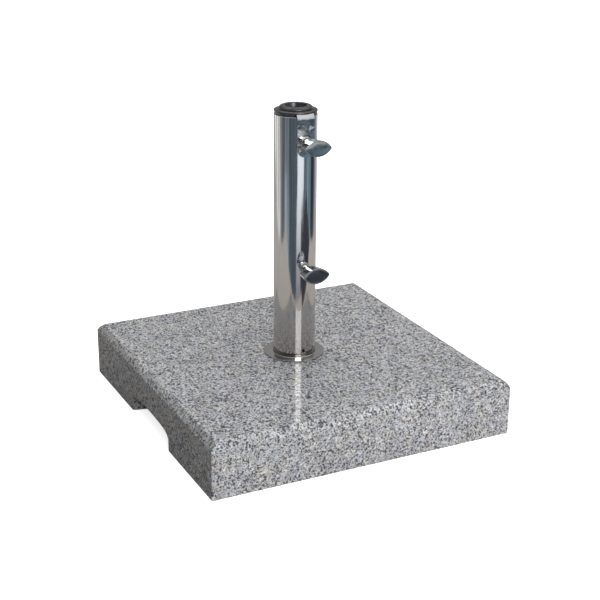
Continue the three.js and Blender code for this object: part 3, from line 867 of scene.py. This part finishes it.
def outer_reducer():
    """Sleeve in the tube's mouth with a stepped lip over its rim, cut away where the bracket hooks over."""
    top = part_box("outer_reducer")[1].z / MM
    bore, sleeve, lip = 20.1, SLEEVE_END, TUBE_RIM / MM + LIP_GAP
    body = turned("outer_reducer_ring", [
        (bore, sleeve + 0.6), (bore + 0.6, sleeve), (27.2, sleeve), (28, sleeve + 1.2), (28, lip),
        (29.0, lip), (29.2, lip + 0.2), (29.2, lip + 2.9), (29.8, lip + 2.9), (30, lip + 3.2),
        (30, top - 1.8), (29.8, top - 1.35), (29.3, top - 1.05), (24.6, top - 0.1), (23.9, top),
        (bore + 0.6, top), (bore, top - 0.6)], 160, PLASTIC)
    bracket_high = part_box("clamp_bracket")[1] / MM
    back, roof, front = bracket_high.y + LIP_GAP, bracket_high.z + LIP_GAP, -34
    for half, depth, floor in ((13.3, back, sleeve - 2), (16, -24, sleeve + 16)):
        plan = ((-half, front), (half, front), (half, depth), (-half, depth))
        rings = [[Vector((x, y, z)) * MM for x, y in plan] for z in (floor, roof)]
        carve(body, lofted("hook_room", rings))
    return smooth(body, 30)


def inner_reducer():
    """Smaller sleeve inside the outer one, with a rounded lip on top of it."""
    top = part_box("inner_reducer")[1].z / MM
    bore, sleeve, lip = 15, SLEEVE_END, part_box("outer_reducer")[1].z / MM + LIP_GAP
    body = turned("inner_reducer_ring", [
        (bore, sleeve + 0.5), (bore + 0.5, sleeve), (19, sleeve), (19.7, sleeve + 1), (19.7, lip),
        (23.4, lip), (23.75, lip + 0.3), (23.75, lip + 1.1), (23.5, lip + 1.6), (22.1, lip + 3.0),
        (21.3, lip + 3.5), (19.6, top - 0.15), (17, top), (16, top - 0.1), (15.3, top - 0.5),
        (bore, top - 1.1)], 160, PLASTIC)
    return smooth(body, 30)


finish_piece(outer_reducer(), "outer_reducer_body", "black_plastic", "outer_reducer")
finish_piece(inner_reducer(), "inner_reducer_body", "black_plastic", "inner_reducer")

# ---------------------------------------------------------------- studio

CAMERA_PLACE = Vector((-0.7838, -1.5864, 0.831))
CAMERA_YAW, CAMERA_PITCH, CAMERA_ROLL = (math.radians(a) for a in (26.556, 20.951, 0.506))
CAMERA_LENS = 79.22
CAMERA_SHIFT = 0.0058


def add_camera():
    """The camera looks from the front left, a little down."""
    level = math.cos(CAMERA_PITCH)
    forward = Vector((math.sin(CAMERA_YAW) * level, math.cos(CAMERA_YAW) * level, -math.sin(CAMERA_PITCH)))
    right = forward.cross(Vector((0, 0, 1))).normalized()
    right = Matrix.Rotation(-CAMERA_ROLL, 3, forward) @ right
    up = right.cross(forward)
    camera = bpy.data.objects.new("camera", bpy.data.cameras.new("camera"))
    bpy.context.scene.collection.objects.link(camera)
    turn = Matrix((right, up, -forward)).transposed().to_4x4()
    camera.matrix_world = Matrix.Translation(CAMERA_PLACE) @ turn
    camera.data.lens = CAMERA_LENS
    camera.data.shift_y = CAMERA_SHIFT
    bpy.context.scene.camera = camera


def add_softbox(name, place, target, size, power):
    """A rectangular lamp of a size in metres and a power in watts, turned to its target."""
    light = bpy.data.lights.new(name, "AREA")
    light.shape = "RECTANGLE"
    light.size, light.size_y = size
    light.energy = power
    lamp = bpy.data.objects.new(name, light)
    bpy.context.scene.collection.objects.link(lamp)
    lamp.location = place
    lamp.rotation_euler = (Vector(target) - Vector(place)).to_track_quat("-Z", "Y").to_euler()
    return lamp


def light_only(lamp, pieces):
    """The lamp lights these pieces and no others."""
    receivers = bpy.data.collections.new(f"{lamp.name}_receivers")
    for piece in pieces:
        receivers.objects.link(piece)
    lamp.light_linking.receiver_collection = receivers


def add_sheet(name, x, y, z, material):
    """A level sheet over the ranges x and y at the height z. It is no part of the object."""
    corners = [(x[0], y[0], z), (x[1], y[0], z), (x[1], y[1], z), (x[0], y[1], z)]
    sheet = add_piece(name, corners, [(0, 1, 2, 3)], material)
    sheet.visible_shadow = False
    return sheet


def paper_material(name, low, high, glow=0.0):
    """Matt paper or cloth, clouded between two colours."""
    p = Painter(name)
    p.set(Base_Color=p.ramp(p.noise(0.004, 3), [(0.3, low), (0.7, high)]), Roughness=0.9,
          Specular_IOR_Level=0.0, Emission_Color=(1, 1, 1, 1), Emission_Strength=glow)
    return p.material


def add_floor():
    """White floor for the camera, a table with a dark sheet of painted shade to mirror, and ground for the
    soft light with painted shade on its left.
    """
    floor = add_sheet("floor", (-12, 12), (-12, 12), -0.0002,
                      paper_material("floor_paper", (0.9, 0.9, 0.9), (0.92, 0.92, 0.92), 0.75))
    floor.visible_glossy = False
    floor.visible_diffuse = False
    table = add_sheet("table", (-0.8, 0.8), (-0.47, 2.5), -0.001,
                      paper_material("table_cloth", (0.43, 0.4, 0.375), (0.48, 0.45, 0.425)))
    table.matrix_world = Matrix.Rotation(math.radians(-13), 4, "Z")
    # Painted shade: a dark sheet seen only in the steel's reflections, standing in for shadow on the table in
    # front of the object.
    shade = add_sheet("table_shade", (0.11, 0.7), (-0.95, -0.42), -0.0006,
                      paper_material("painted_shade_sheet", (0.03, 0.033, 0.04), (0.045, 0.05, 0.06)))
    ground = add_sheet("ground", (-SLAB_HALF, 1.2), (-0.8, 1.2), -0.0014,
                       paper_material("ground_cloth", (0.56, 0.525, 0.5), (0.6, 0.565, 0.54)))
    # Painted shade: a dark sheet left of the slab, seen only by soft light, darkens the slab's left face and
    # its recess.
    shade_on_left = add_sheet("ground_painted_shade", (-1.2, -SLAB_HALF), (-0.8, 1.2), -0.0014,
                     paper_material("painted_shade_ground", (0.1, 0.097, 0.095), (0.14, 0.136, 0.132)))
    for sheet in (table, shade):
        sheet.visible_camera = False
        sheet.visible_diffuse = False
    for sheet in (ground, shade_on_left):
        sheet.visible_camera = False
        sheet.visible_glossy = False


# Brightness of the studio round the object, below eye level: (degrees from -Y towards +X, colour).
SURROUNDINGS = [
    (-180, (0.95, 0.92, 0.9)), (-140, (0.85, 0.82, 0.79)), (-118, (0.62, 0.61, 0.59)),
    (-104, (0.14, 0.15, 0.16)), (-92, (0.18, 0.2, 0.22)), (-80, (0.31, 0.35, 0.39)),
    (-62, (0.31, 0.37, 0.41)), (-50, (0.09, 0.12, 0.15)), (-30, (0.1, 0.12, 0.15)),
    (-10, (0.09, 0.11, 0.14)), (18, (0.07, 0.085, 0.11)), (26, (0.1, 0.14, 0.17)),
    (38, (0.19, 0.26, 0.31)), (56, (0.19, 0.26, 0.32)), (66, (0.04, 0.05, 0.065)),
    (86, (0.035, 0.045, 0.06)), (100, (0.4, 0.41, 0.43)), (125, (0.6, 0.6, 0.61)), (180, (0.95, 0.92, 0.9)),
]
# Darker patches of them: (from and to azimuth in radians, height above which each lies, strength).
DARKER_PATCHES = [(-1.63, -0.85, -0.257, 0.5), (0.28, 0.64, -0.226, 0.42)]
# Brightness of the studio above eye level, behind and in front: (sine of the height, colour).
DOME_BEHIND = [(0.0, (0.3, 0.29, 0.28)), (0.2, (0.26, 0.255, 0.25)), (0.42, (0.34, 0.335, 0.33)),
               (0.54, (0.3, 0.295, 0.29)), (0.64, (0.9, 0.88, 0.86)), (1.0, (1.05, 1.05, 1.05))]
DOME_IN_FRONT = [(0.0, (0.06, 0.07, 0.08)), (0.2, (0.09, 0.1, 0.115)), (0.42, (0.12, 0.13, 0.14)),
                 (0.5, (0.6, 0.59, 0.58)), (0.65, (0.8, 0.78, 0.77)), (1.0, (1.0, 1.0, 1.0))]
# The bright lane in front, down to the floor: (sine of the depth, brightness), and its colour.
LANE = [(0.0, 0.9), (0.19, 1.1), (0.277, 1.1), (0.296, 0.9), (0.314, 0.66), (0.332, 0.48), (0.352, 0.28),
        (0.4, 0.22)]
LANE_COLOUR = (0.93, 0.98, 1.03)


def add_world():
    """Soft studio dome above, and the surroundings at eye level and below, with one bright lane in front."""
    world = bpy.data.worlds.new("studio")
    bpy.context.scene.world = world
    world.use_nodes = True
    sky = Nodes(world.node_tree)
    view = sky.node("ShaderNodeTexCoord").outputs["Generated"]
    direction = sky.parts(view)
    height = direction["Z"]
    azimuth = sky.math("ARCTAN2", direction["X"], sky.math("MULTIPLY", direction["Y"], -1.0))

    bands = [((degrees + 180) / 360, colour) for degrees, colour in SURROUNDINGS]
    below = sky.ramp(sky.span(azimuth, -math.pi, math.pi), bands)
    clutter = sky.node("ShaderNodeTexNoise", {"Vector": view, "Scale": 8.0, "Detail": 2.0}).outputs["Fac"]
    below = sky.scaled(below, sky.span(clutter, 0.35, 0.65, 0.5, 1.4))
    # The lane moves aside and widens over two ranges of height.
    near, far = (-0.3, -0.277), (-0.2, -0.14)
    middle = sky.math("ADD", sky.span(height, *near, -0.11, 0.05), sky.span(height, *far, 0.0, 0.18))
    half_width = sky.math("ADD", sky.span(height, *near, 0.23, 0.33), sky.span(height, *far, 0.0, 0.17))
    aside = sky.math("ABSOLUTE", sky.math("SUBTRACT", azimuth, middle))
    lane = sky.span(sky.math("SUBTRACT", half_width, aside), 0.0, 0.06)
    glow = [(depth, [share * c for c in LANE_COLOUR]) for depth, share in LANE]
    below = sky.mix(lane, below, sky.ramp(sky.math("MULTIPLY", height, -1.0), glow))
    edge, rise = 0.1, 0.018
    for first, last, patch_height, strength in DARKER_PATCHES:
        across = sky.math("MULTIPLY", sky.span(azimuth, first, first + edge),
                          sky.span(azimuth, last, last - edge))
        patch = sky.math("MULTIPLY", across, sky.span(height, patch_height - rise, patch_height))
        below = sky.mix(sky.math("MULTIPLY", patch, strength), below, (0.0, 0.0, 0.0, 1))

    in_front = sky.span(direction["Y"], -0.25, 0.25, 1.0, 0.0)
    above = sky.mix(in_front, sky.ramp(height, DOME_BEHIND), sky.ramp(height, DOME_IN_FRONT))
    above = sky.scaled(above, sky.span(direction["X"], -0.9, 0.2, 0.45, 1.0))
    above = sky.mix(sky.math("MULTIPLY", lane, sky.span(height, 0.3, 0.2)), above, (*LANE_COLOUR, 1))

    seen = sky.mix(sky.span(height, -0.02, 0.12), below, above)
    camera = sky.node("ShaderNodeLightPath").outputs["Is Camera Ray"]
    shown = sky.mix(camera, seen, (1.0, 1.0, 1.0, 1))
    sky.feed(sky.tree.nodes["Background"].inputs["Color"], shown)


def add_lights():
    """A softbox that mirrors in the steel, a lower one for the slab, and two fills that mirror in nothing."""
    in_low_light = ("granite_block", "rosette_cover")
    in_neither = ("lower_almond_grip",)
    low_lit = [piece for piece in PIECES if piece.name in in_low_light]
    high_lit = [piece for piece in PIECES if piece.name not in in_low_light + in_neither]
    light_only(add_softbox("front_softbox", (-0.12, -2.3, 1.2), (0, 0, 0.2), (1.25, 1.3), 24), high_lit)
    light_only(add_softbox("low_softbox", (-0.12, -2.3, 0.99), (0, 0, 0.12), (1.25, 0.2), 3.6), low_lit)
    for name, place, power in (("front_fill", (0.0, -3.0, 1.1), 63), ("top_fill", (0.2, 0.5, 2.5), 25)):
        add_softbox(name, place, (0, 0, 0), (2.2, 1.8), power).visible_glossy = False


add_camera()
add_floor()
add_world()
add_lights()
bpy.context.scene.view_settings.view_transform = "Standard"
